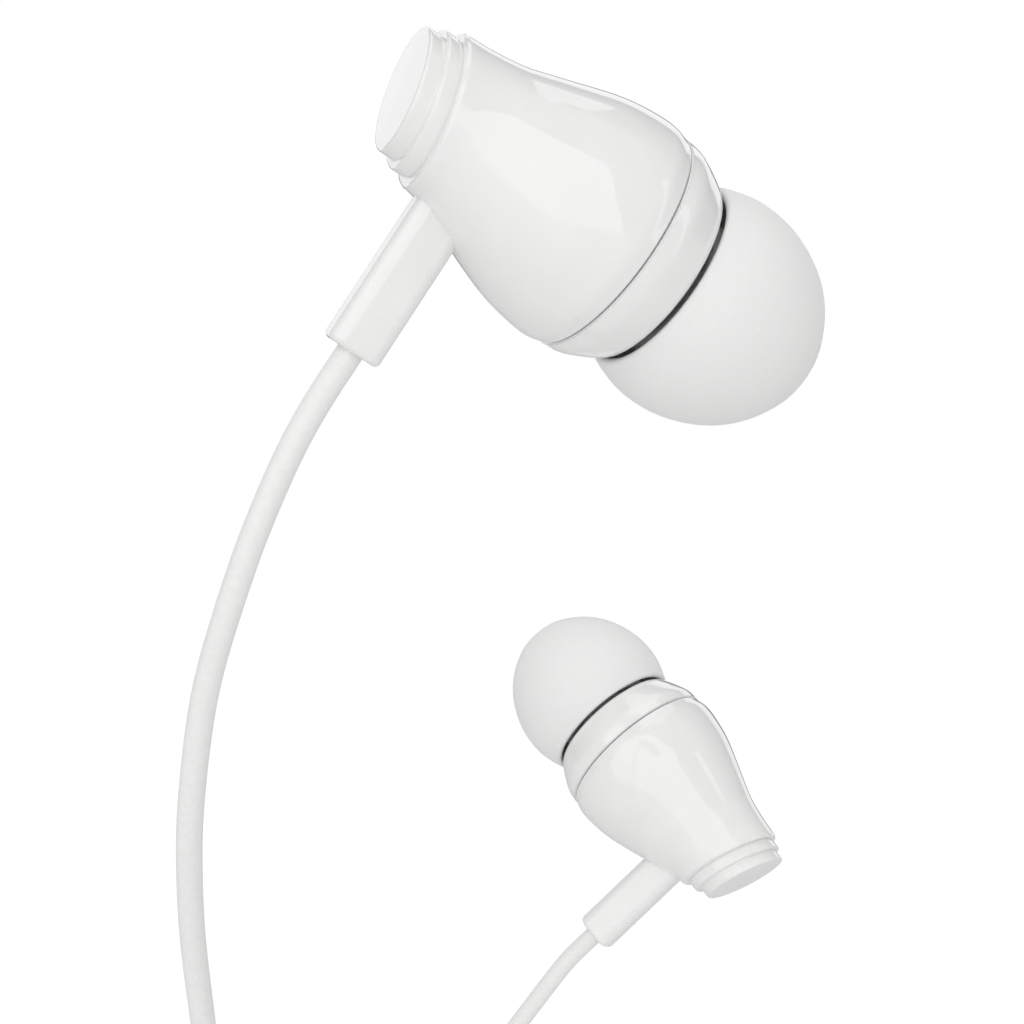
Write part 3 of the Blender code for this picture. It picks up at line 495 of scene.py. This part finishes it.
def ear_path(side):
    """Centreline of an ear cord in millimetres: sleeve, hanging curve, turns, and down to the splitter."""
    way = -1 if side == "left" else 1
    near = HANK_Y + way * (MAIN_LAYERS * (MAIN_CORD + PITCH_GAP) / 2 + GAP)
    pitch = way * (EAR_CORD + PITCH_GAP)
    radius = HANK_RADIUS[side]
    y = near + way * EAR_CORD / 2
    last = near + EAR_TURNS * pitch + way * (GAP + EAR_CORD / 2)
    ways = [(SLEEVE_X, 0.0, -d) for d in (SLEEVE_START, SLEEVE_END, SLEEVE_END + 2 * EAR_CORD)]
    leaving = placed(np.array(ways), side) / MM
    outer = radius + EAR_CORD / 2
    entry = HANK_TOP + math.sqrt(outer**2 - (radius - EAR_CORD / 2) ** 2) + GAP
    hanging = smooth_line([*leaving, *ROUTE[side], (HANK_X - radius, y, entry)], 12)
    turns = [
        turn_of_hank(radius, y, radius, y + pitch, True),
        turn_of_hank(radius, y + pitch, radius, last, True),
    ]
    fork = SPLITTER_TOP + (0, way * FORK, GAP)
    levels = (HANK_TOP, HANK_TOP - HANK_RUN / 2, HANK_TOP - HANK_RUN)
    run = [(HANK_X - radius, last, z) for z in levels]
    tail = smooth_line([*run, *TAIL_ROUTE[side], fork + (0, 0, 2 * EAR_CORD), fork - (0, 0, GAP)], 12)
    return np.vstack([hanging, *turns, tail])


def main_path():
    """Centreline of the main cord in millimetres: splitter, up into its turns, and down to the plug."""
    pitch = MAIN_CORD + PITCH_GAP
    outer = MAIN_INNER + pitch
    bottom = HANK_TOP - HANK_RUN
    leave = SPLITTER_TOP - (0, 0, SPLITTER_LENGTH + COLLAR_LENGTH + GAP)
    rise = smooth_line([leave, *MAIN_START, (HANK_X + outer, HANK_Y - pitch, bottom)], 12)
    inner = MAIN_INNER
    places = [(outer, -pitch), (inner, -pitch), (inner, 0), (outer, 0), (outer, pitch), (inner, pitch)]
    turns = []
    for k, (radius, y) in enumerate(places):
        following = places[min(k + 1, len(places) - 1)]
        closing = k < len(places) - 1
        turns.append(turn_of_hank(radius, HANK_Y + y, following[0], HANK_Y + following[1], False, closing))
    out = (HANK_X - MAIN_INNER, HANK_Y + pitch, bottom)
    end = smooth_line([out, *MAIN_END, PLUG_TOP + (0, 0, MAIN_CORD / 2), PLUG_TOP - (0, 0, GAP)], 12)
    return np.vstack([rise, *turns, end])


# %% [markdown]
# A cord is a circle carried along its path. At each point the circle stands square to the path. Its up
# direction starts sideways and is turned only as far as the path turns, so the jacket never twists.


# %% Cord as a tube
def tube(name, path, diameter, sides=24, step=0.5):
    """A round tube: ring(a) = point + radius (cos a U + sin a V), with U carried along without twist."""
    line = even_steps(path, step)
    kernel = np.array([1, 2, 3, 2, 1]) / 9
    padded = np.vstack([line[:1], line[:1], line, line[-1:], line[-1:]])
    line[1:-1] = np.stack([np.convolve(padded[:, k], kernel, "valid") for k in range(3)], 1)[1:-1]
    tangent = np.gradient(line, axis=0)
    tangent /= np.linalg.norm(tangent, axis=1, keepdims=True)
    up = np.empty_like(line)
    carried = np.cross(tangent[0], (0.3, 1.0, 0.2))
    for k, along in enumerate(tangent):
        carried = carried - carried.dot(along) * along
        carried /= np.linalg.norm(carried)
        up[k] = carried
    across = np.cross(tangent, up)
    angle = np.linspace(0, math.tau, sides, endpoint=False)[None, :, None]
    ring = np.cos(angle) * up[:, None] + np.sin(angle) * across[:, None]
    grid = line[:, None] + ring * diameter / 2
    shrink = np.array([0.0, 0.6, 0.9])[:, None, None]
    start = line[0] + (grid[0] - line[0]) * shrink
    close = line[-1] + (grid[-1] - line[-1]) * shrink[::-1]
    return surface(name, np.concatenate([start, grid, close]) * MM, round_v=True), line * MM


for side in SIDES:
    piece, line = tube(f"{side}_cord_jacket", ear_path(side), EAR_CORD)
    stretches = (f"{side}_ear_cord", f"{side}_ear_cord_hank", f"{side}_ear_cord_tail")
    join(piece, "root", "cord_jacket", *stretches)
piece, line = tube("main_cord_jacket", main_path(), MAIN_CORD, 28)
join(piece, "root", "cord_jacket", "main_cord_start", "main_cord_hank", "main_cord_end")

# %% [markdown]
# ## Casing sizes
# These repeat the driving sizes of the solid model, in millimetres along the axis from the tip's widest ring.
# The seam and the joints are drawn finer here than the solids' working gaps.

# %% Sizes along the axis
RIM_X = -2.3
SEAM_X = RIM_X - 3.0
TAIL_X = SEAM_X - 11.4
RIM_RADIUS, SEAM_RADIUS, TAIL_RADIUS = 5.1, 6.25, 3.85
SEAM_GROOVE = 0.11
WALL = 0.9
TAIL_SLANT, SLANT_REACH = math.radians(13), 3.0
NOZZLE_RADIUS, NOZZLE_BORE, NOZZLE_LENGTH = 2.5, 1.8, 6.2
RECESS_DEPTH, RECESS_LAND = 0.8, 0.3


def slanted(grid):
    """Leans the tail: near the end each point moves along the axis by its height times the slant."""
    reach = ease_in(TAIL_X + SLANT_REACH - grid[..., 0], 0.0, SLANT_REACH)
    leaning = grid.copy()
    leaning[..., 0] -= math.tan(TAIL_SLANT) * grid[..., 2] * reach
    return leaning


# %% [markdown]
# ## Rear casing
# A bottle: a narrow tail, a hollow neck, and a belly that is widest just behind the seam. A smooth curve
# through eight stations gives it. A lathe carries it round, and the wall is the same curve drawn 0.9 mm in.


# %% Rear casing
def rear_casing(side):
    """Outer curve from seam to tail, an eased rim, and the wall's inside back to the seam."""
    front = SEAM_X - SEAM_GROOVE
    outer = smooth_line(
        [
            (front - 0.08, SEAM_RADIUS), (SEAM_X - 1.1, 6.42), (SEAM_X - 2.6, 6.28), (SEAM_X - 4.2, 5.92),
            (TAIL_X + 4.6, 5.02), (TAIL_X + 2.8, 4.4), (TAIL_X + 1.4, 4.04),
            (TAIL_X + 0.18, TAIL_RADIUS + 0.02),
        ],
        16,
    )
    rim = [(TAIL_X + 0.05, TAIL_RADIUS - 0.05), (TAIL_X, TAIL_RADIUS - 0.18), (TAIL_X, TAIL_RADIUS - WALL)]
    inner = outer[::-8] - (0, WALL)
    lip = [(front, SEAM_RADIUS - WALL), (front, SEAM_RADIUS - 0.09), (front - 0.02, SEAM_RADIUS - 0.03)]
    outline = np.vstack([outer, rim, inner, lip])
    piece = turned(f"{side}_rear_casing", outline, side, 192, slanted)
    return join(piece, "root", "gloss_white_abs", f"{side}_rear_shell")


# %% [markdown]
# ## Stepped tail
# A separate cap closes the bottle. It stands back in two steps, and each edge has a small radius that
# catches the light as a bright line.


# %% Tail cap
def tail_steps(side):
    """Two discs, one on the other, eased at every edge, leaning as the casing's tail does."""
    step, face = TAIL_X - 0.9, TAIL_X - 1.8
    corners = [
        (TAIL_X + 0.5, 0.02, 0.0), (TAIL_X + 0.5, 2.6, 0.1), (TAIL_X + 0.02, 2.6, 0.02),
        (TAIL_X + 0.02, 3.42, 0.02), (TAIL_X - 0.16, 3.47, 0.06), (step, 3.47, 0.16), (step, 3.12, 0.02),
        (step - 0.1, 3.1, 0.02), (face, 3.1, 0.18), (face, 0.02, 0.0),
    ]
    outline = eased(corners)
    piece = turned(f"{side}_tail_steps", outline, side, 160, slanted)
    return join(piece, "root", "gloss_white_abs", f"{side}_tail_cap")


# %% [markdown]
# ## Front casing
# The front half is one moulding: the curve from the seam in to the rim, a recess for the gasket, the nozzle
# with the lip that holds the tip, and the spigot that slides into the rear casing.


# %% Front casing
def front_casing(side):
    """The outer curve by stations, and the rest of the outline as an eased polygon."""
    curve = smooth_line(
        [
            (SEAM_X + 0.06, SEAM_RADIUS), (SEAM_X + 0.9, 6.17), (RIM_X - 1.3, 5.86),
            (RIM_X - 0.55, 5.49), (RIM_X - 0.12, 5.2),
        ],
        12,
    )
    nose = RIM_X + NOZZLE_LENGTH
    recess = RIM_X - RECESS_DEPTH
    spigot = SEAM_X - 1.3
    rest = [
        (RIM_X, RIM_RADIUS - 0.02, 0.1), (RIM_X, RIM_RADIUS - RECESS_LAND, 0.08),
        (recess, RIM_RADIUS - RECESS_LAND, 0.1), (recess, NOZZLE_RADIUS, 0.2),
        (nose - 1.1, NOZZLE_RADIUS, 0.2), (nose - 0.8, NOZZLE_RADIUS + 0.3, 0.15),
        (nose - 0.3, NOZZLE_RADIUS + 0.3, 0.15), (nose, NOZZLE_RADIUS, 0.15), (nose, 2.15, 0.08),
        (nose - 0.5, 2.15, 0.05), (nose - 0.5, NOZZLE_BORE, 0.05), (recess - 0.9, NOZZLE_BORE, 0.1),
        (recess - 0.9, 4.55, 0.3), (spigot, 4.55, 0.1), (spigot, 4.95, 0.1), (SEAM_X, 4.95, 0.05),
        (SEAM_X, SEAM_RADIUS - 0.06, 0.05),
    ]
    polygon = eased(rest, 5)
    outline = np.vstack([curve, polygon[2:]])
    piece = turned(f"{side}_front_casing", outline, side, 192)
    return join(piece, "root", "gloss_white_abs", f"{side}_front_cap")


# %% [markdown]
# ## Gasket and screen
# The gasket fills the recess and is what shows dark in the gap behind the tip. The screen closes the nozzle.


# %% Gasket and screen
def gasket(side):
    """A flat ring with eased edges in the recess."""
    back = RIM_X - RECESS_DEPTH + 0.1
    corners = [(RIM_X - 0.06, 2.8, 0.08), (RIM_X - 0.06, 4.72, 0.1), (back, 4.72, 0.05), (back, 2.8, 0.05)]
    piece = turned(f"{side}_gasket", eased(corners), side, 128)
    return join(piece, "root", "charcoal_elastomer", f"{side}_gasket_ring")


def screen(side):
    """A thin, slightly domed disc in the nozzle's mouth."""
    radius = np.linspace(0.01, 2.05, 14)
    front = RIM_X + NOZZLE_LENGTH - 0.22 + 0.12 * (1 - (radius / 2.05) ** 2)
    outline = np.vstack([np.stack([front, radius], 1), np.stack([front - 0.12, radius], 1)[::-1]])
    piece = turned(f"{side}_nozzle_screen", outline, side, 96)
    return join(piece, "root", "steel", f"{side}_nozzle_mesh", material=SCREEN)


# %% [markdown]
# ## Ear tip
# A mushroom of silicone. Its thin skirt springs back over a core tube, and the core grips the nozzle's lip.
# The outer curve is nearly a ball that is cut short at the sound hole, with a soft lip round the hole.


# %% Ear tip
def ear_tip(side):
    """Skirt edge, dome, lip and bore, then down the core and back up the inside of the skirt."""
    dome = smooth_line(
        [
            (-2.0, 5.44), (-1.2, 5.74), (-0.2, 5.99), (0.9, 6.05), (2.0, 5.94), (3.1, 5.64), (4.2, 5.16),
            (5.2, 4.5), (6.0, 3.72), (6.6, 2.95), (6.88, 2.52),
        ],
        10,
    )
    lip = smooth_line([(6.9, 2.4), (6.84, 2.2), (6.6, 2.1), (6.1, 2.08)], 6)
    nozzle_end = RIM_X + NOZZLE_LENGTH + GAP
    core = [(nozzle_end, 2.1), (nozzle_end - 0.1, 2.9), (nozzle_end - 0.4, 3.05), (-1.3, 3.1), (-1.5, 3.3)]
    outside_core = [(-1.5, 3.6), (-1.3, 3.8), (3.1, 3.8), (3.7, 4.05)]
    skirt = smooth_line([(3.7, 4.35), (3.0, 4.95), (1.6, 5.4), (0.2, 5.48), (-1.2, 5.2), (-2.0, 4.98)], 8)
    edge = [(-2.07, 5.08), (-2.09, 5.22), (-2.07, 5.36)]
    outline = np.vstack([dome, lip, core, outside_core, skirt, edge])
    piece = turned(f"{side}_silicone_tip", outline, side, 192)
    return join(piece, f"{side}_tip", "white_silicone", f"{side}_ear_tip")


# %% [markdown]
# ## Sleeve
# A flat bar with rounded edges leaves the casing's neck square to its axis and carries the cord out. Its
# section is a rounded rectangle. Towards the end the section draws in over a small radius, and then it
# becomes the round mouth of the bore.


# %% Bars of rounded section
def rounded_section(width, depth, corner, count=96):
    """Rounded rectangle: the corner's centre plus a quarter circle, over all four corners."""
    angle = np.linspace(0, math.tau, count, endpoint=False)
    c, s = np.cos(angle), np.sin(angle)
    across = np.sign(c) * (width / 2 - corner) + corner * c
    along = np.sign(s) * (depth / 2 - corner) + corner * s
    return np.stack([across, along], 1)


def round_section(radius, count=96):
    """Circle with its points at the same angles."""
    angle = np.linspace(0, math.tau, count, endpoint=False)
    return radius * np.stack([np.cos(angle), np.sin(angle)], 1)


def sleeve(side):
    """Sections from inside the casing to the end, round the end's edge, and back up the bore."""
    width, depth, corner, edge = 3.0, 2.3, 0.8, 0.32
    bend = np.linspace(0, math.pi / 2, 7)
    bar = [(3.0, 0.0), (5.0, 0.0), (8.0, 0.0)]
    bar += list(zip(SLEEVE_END - edge + edge * np.sin(bend), edge * (1 - np.cos(bend))))
    rows = []
    for down, inset in bar:
        section = rounded_section(width - 2 * inset, depth - 2 * inset, corner - 0.7 * inset)
        rows.append(np.column_stack([SLEEVE_X + section[:, 0], section[:, 1], np.full(len(section), -down)]))
    bore = EAR_CORD / 2 + 0.03
    for down, radius in ((SLEEVE_END, bore + 0.1), (SLEEVE_END - 0.1, bore), (3.0, bore)):
        section = round_section(radius)
        rows.append(np.column_stack([SLEEVE_X + section[:, 0], section[:, 1], np.full(len(section), -down)]))
    grid = placed(np.array(rows), side)
    piece = surface(f"{side}_sleeve_bar", grid, round_u=True, round_v=True)
    return join(piece, "root", "gloss_white_abs", f"{side}_stem_sleeve")


for side in SIDES:
    made = [part(side) for part in (rear_casing, tail_steps, front_casing, gasket, screen, ear_tip, sleeve)]
    print(side, "earpiece:", ", ".join(f"{p.name} {len(p.data.polygons)}" for p in made))

# %% [markdown]
# ## Splitter
# An oval bar with soft ends joins the two ear cords, and a dark collar closes it round the main cord.


# %% Splitter
def upright_bar(name, top, length, width, depth, corner, ease):
    """Rounded sections stacked downwards; each end closes over a quarter circle of the ease."""
    bend = np.linspace(0, math.pi / 2, 7)
    curve = [(0.0, 1.0 * depth / 2 - 0.01)]
    curve += [(ease * (1 - math.sin(b)), ease * (1 - math.cos(b))) for b in bend[::-1]]
    curve += [(length - down, inset) for down, inset in reversed(curve)]
    rows = []
    for down, inset in curve:
        section = rounded_section(width - 2 * inset, depth - 2 * inset, max(corner - inset, 0.002))
        rows.append(np.column_stack([section, np.full(len(section), -down)]) + top)
    return surface(name, np.array(rows) * MM, round_v=True)


body = upright_bar("splitter_shell", SPLITTER_TOP, SPLITTER_LENGTH, 3.6, 5.6, 1.7, 0.7)
join(body, "root", "gloss_white_abs", "splitter_body")
collar_top = SPLITTER_TOP - (0, 0, SPLITTER_LENGTH + 0.05)
collar = upright_bar("splitter_ring", collar_top, COLLAR_LENGTH, 2.8, 4.8, 1.3, 0.3)
join(collar, "root", "charcoal_elastomer", "splitter_collar")
print("splitter", len(body.data.polygons) + len(collar.data.polygons), "faces")

# %% [markdown]
# ## Tie
# A soft band holds the hank at its middle. A small rounded section is carried round a rounded rectangle.


# %% Tie
def tie_band():
    """point(a, b) = path(a) + outward(a) * thickness(b) + up * height(b)."""
    box = [np.array(corner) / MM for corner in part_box("hank_tie")]
    middle, size = (box[0] + box[1]) / 2, box[1] - box[0]
    thick, corner = 0.8, 2.5
    path = rounded_section(size[0] - thick, size[1] - thick, corner - thick / 2, 160)
    ahead = np.roll(path, -1, 0) - np.roll(path, 1, 0)
    outward = np.stack([ahead[:, 1], -ahead[:, 0]], 1)
    outward /= np.linalg.norm(outward, axis=1, keepdims=True)
    profile = rounded_section(thick, size[2], 0.36, 32)
    flat = path[:, None] + outward[:, None] * profile[None, :, 0:1]
    height = np.broadcast_to(profile[None, :, 1:2], (*flat.shape[:2], 1))
    return surface("hank_band", (np.concatenate([flat, height], -1) + middle) * MM, True, True)


band = join(tie_band(), "root", "charcoal_elastomer", "hank_tie")
print("tie", len(band.data.polygons), "faces")

# %% [markdown]
# ## Plug
# A 3.5 mm jack hangs tip down. It is turned work round an upright axis: a stepped strain relief, a smooth
# grip, and three plated contacts with dark insulators between them.

# %% Plug
RELIEF, GRIP = 6.0, 14.0
LONG_CONTACT, RING_CONTACT, TIP_CONTACT, INSULATOR = 7.6, 2.0, 3.4, 0.7
JACK = 1.75
INSULATOR_RADIUS = 1.72
BORE = 0.5  # inside the contacts and insulators
CORE = 0.45  # the rod of the tip contact
REACH = 0.15  # each piece closes this much of the gap beside it


def plug_part(name, corners, slot, node_name, steps=5):
    """A lathe round the plug's axis from an eased outline of (distance down, radius, ease)."""
    outline = eased(corners, steps)
    angle = np.linspace(0, math.tau, 96, endpoint=False)
    radius = outline[:, 1:2]
    grid = np.stack([radius * np.cos(angle), radius * np.sin(angle), -outline[:, 0:1] + 0 * angle], -1)
    piece = surface(name, (grid + PLUG_TOP) * MM, True, True)
    return join(piece, "root", slot, node_name)


def band_outline(top, bottom, radius, ease):
    """The closed outline of a plain ring between two distances down the plug."""
    return [(top, BORE, 0.0), (top, radius, ease), (bottom, radius, ease), (bottom, BORE, 0.0)]


relief = [(0.0, 0.02, 0.0), (0.0, 1.3, 0.15)]
for k in range(3):
    low, wide = RELIEF * (k + 0.45) / 3, 1.3 + 0.5 * (k + 1) / 3
    relief += [(low, wide - 0.16, 0.08), (low, wide, 0.1)]
relief += [(RELIEF + 0.1, 1.8, 0.05), (RELIEF + 0.1, 0.02, 0.0)]
grip_end = RELIEF + GAP + GRIP
contact = grip_end + GAP
ring_at = contact + LONG_CONTACT + 2 * GAP + INSULATOR
tip_at = ring_at + RING_CONTACT + 2 * GAP + INSULATOR
ball = tip_at + TIP_CONTACT
plug_pieces = [
    plug_part("plug_relief", relief, "gloss_white_abs", "plug_strain_relief"),
    plug_part(
        "plug_handle",
        [
            (RELIEF + 0.15, 0.02, 0.0), (RELIEF + 0.15, 2.25, 0.1), (RELIEF + 0.8, 2.7, 0.6),
            (grip_end - 0.6, 2.7, 0.6), (grip_end, 2.3, 0.4), (grip_end, 0.02, 0.0),
        ],
        "gloss_white_abs",
        "plug_grip",
    ),
    plug_part(
        "plug_long_contact",
        [
            (grip_end, BORE, 0.0), (grip_end, 2.05, 0.05), (contact + 0.3, 2.05, 0.1),
            (contact + 0.45, JACK, 0.05), (contact + LONG_CONTACT + REACH, JACK, 0.05),
            (contact + LONG_CONTACT + REACH, BORE, 0.0),
        ],
        "gold_plating",
        "plug_sleeve_contact",
    ),
    plug_part(
        "plug_upper_ring",
        band_outline(contact + LONG_CONTACT + REACH + 0.02, ring_at - REACH - 0.01, INSULATOR_RADIUS, 0.03),
        "charcoal_elastomer",
        "plug_upper_insulator",
    ),
    plug_part(
        "plug_middle_contact",
        band_outline(ring_at - REACH + 0.01, ring_at + RING_CONTACT + REACH - 0.01, JACK, 0.06),
        "gold_plating",
        "plug_ring_contact",
    ),
    plug_part(
        "plug_lower_ring",
        band_outline(ring_at + RING_CONTACT + REACH + 0.01, tip_at - 0.02, INSULATOR_RADIUS, 0.03),
        "charcoal_elastomer",
        "plug_lower_insulator",
    ),
    plug_part(
        "plug_tip",
        [
            (contact + 0.5, 0.02, 0.0), (contact + 0.5, CORE, 0.05), (tip_at, CORE, 0.02),
            (tip_at, 1.62, 0.1),
            (tip_at + 0.75, 1.2, 0.4), (tip_at + 1.6, 1.72, 0.5), (ball - 0.5, 0.95, 0.4), (ball, 0.45, 0.25),
            (ball, 0.02, 0.0),
        ],
        "gold_plating",
        "plug_tip_contact",
        8,
    ),
]
print("plug", sum(len(p.data.polygons) for p in plug_pieces), "faces")

# %% [markdown]
# ## Declaring the cords
# An ear cord leaves its sleeve and goes into the splitter. The main cord leaves the splitter
# and ends in the plug, and it carries the tie.

# %% [markdown]
# ## Floor, world and light
# The stage is white. Camera rays meet plain white in the world and on the floor. The floor keeps a part of
# its own shading, so that shadows still show on it. Matte surfaces are lit by an even grey-white tent. Glossy
# rays meet white straight ahead and grey flags round it, which draw a thin grey line inside each silhouette.
# A large window behind the camera gives the broad band on each casing, and a box above lights the tops.

# %% Levels of the studio
TENT = 0.64  # what matte surfaces receive from the world
# forward share of a glossy ray and the level that it meets: flags with one bright strip, white straight ahead
FLAGS = (
    (0.0, 0.5), (0.05, 0.3), (0.7, 0.3), (0.74, 1.0), (0.9, 1.0), (0.93, 0.15), (0.98, 0.15), (0.99, 1.0),
)
FLOOR_SHARE = 0.85
FLOOR_GLOW = 1.12
FLOOR_DROP = 0.03  # below the plug, m


# %% Stage
def white_floor():
    """Pale floor: the camera sees mostly white, other rays see matte paint."""
    made, tree, shader = finish("white_stage_paint", "f0f0f0", 0.9)
    glow = node(tree, "ShaderNodeEmission", Color=(1, 1, 1, 1), Strength=FLOOR_GLOW)
    path = node(tree, "ShaderNodeLightPath")
    share = node(tree, "ShaderNodeMath", [(path.outputs["Is Camera Ray"], 0)], operation="MULTIPLY")
    share.inputs[1].default_value = FLOOR_SHARE
    mixed = node(tree, "ShaderNodeMixShader", [(share.outputs[0], 0)])
    tree.links.new(shader.outputs[0], mixed.inputs[1])
    tree.links.new(glow.outputs[0], mixed.inputs[2])
    tree.links.new(mixed.outputs[0], tree.nodes["Material Output"].inputs["Surface"])
    return made


floor_z = float(SOLID_BOX[0][2]) - FLOOR_DROP
corners = np.array([[[-4, -4, 0], [-4, 4, 0]], [[4, -4, 0], [4, 4, 0]]], float) + (0, 0, floor_z)
floor = surface("stage_floor", corners)
floor.data.materials.append(white_floor())
if floor.data.polygons[0].normal.z < 0:
    floor.data.flip_normals()

# %% World
world = bpy.data.worlds.new("studio")
world.use_nodes = True
bpy.context.scene.world = world
sky = world.node_tree
place = node(sky, "ShaderNodeTexCoord")
axes = node(sky, "ShaderNodeSeparateXYZ", [(place.outputs["Generated"], "Vector")])
flags = node(sky, "ShaderNodeValToRGB", [(axes.outputs["Y"], "Fac")])
for k, (forward, level) in enumerate(FLAGS):
    stops = flags.color_ramp.elements
    stop = stops[k] if k < 2 else stops.new(forward)
    stop.position, stop.color = forward, (level, level, level, 1.0)
path = node(sky, "ShaderNodeLightPath")
glossy = node(sky, "ShaderNodeMix", [(path.outputs["Is Glossy Ray"], 0), (flags.outputs["Color"], 3)])
glossy.inputs[2].default_value = TENT
seen = node(
    sky,
    "ShaderNodeMath",
    [(path.outputs["Is Camera Ray"], 0), (path.outputs["Is Transmission Ray"], 1)],
    operation="MAXIMUM",
)
level = node(sky, "ShaderNodeMix", [(seen.outputs[0], 0), (glossy.outputs[0], 2)])
level.inputs[3].default_value = 1.0
sky.nodes["Background"].inputs["Color"].default_value = (1, 1, 1, 1)
sky.links.new(level.outputs[0], sky.nodes["Background"].inputs["Strength"])

# %% Lamps
CENTRE = (-0.008, 0.02, -0.015)
LAMPS = {
    "window": ((-0.16, -0.58, 0.10), (1.10, 0.90), 2.2),
    "top_box": ((0.02, 0.02, 0.60), (0.60, 0.45), 0.5),
    "right_strip": ((0.55, -0.20, 0.05), (0.10, 0.60), 0.12),
}
for name, (spot, (wide, high), power) in LAMPS.items():
    data = bpy.data.lights.new(name, "AREA")
    data.shape, data.size, data.size_y, data.energy = "RECTANGLE", wide, high, power
    lamp = bpy.data.objects.new(name, data)
    lamp.location = spot
    lamp.rotation_euler = (Vector(CENTRE) - Vector(spot)).to_track_quat("-Z", "Y").to_euler()
    bpy.context.scene.collection.objects.link(lamp)
print("lamps", len(LAMPS))
bpy.context.scene.view_settings.view_transform = "Standard"
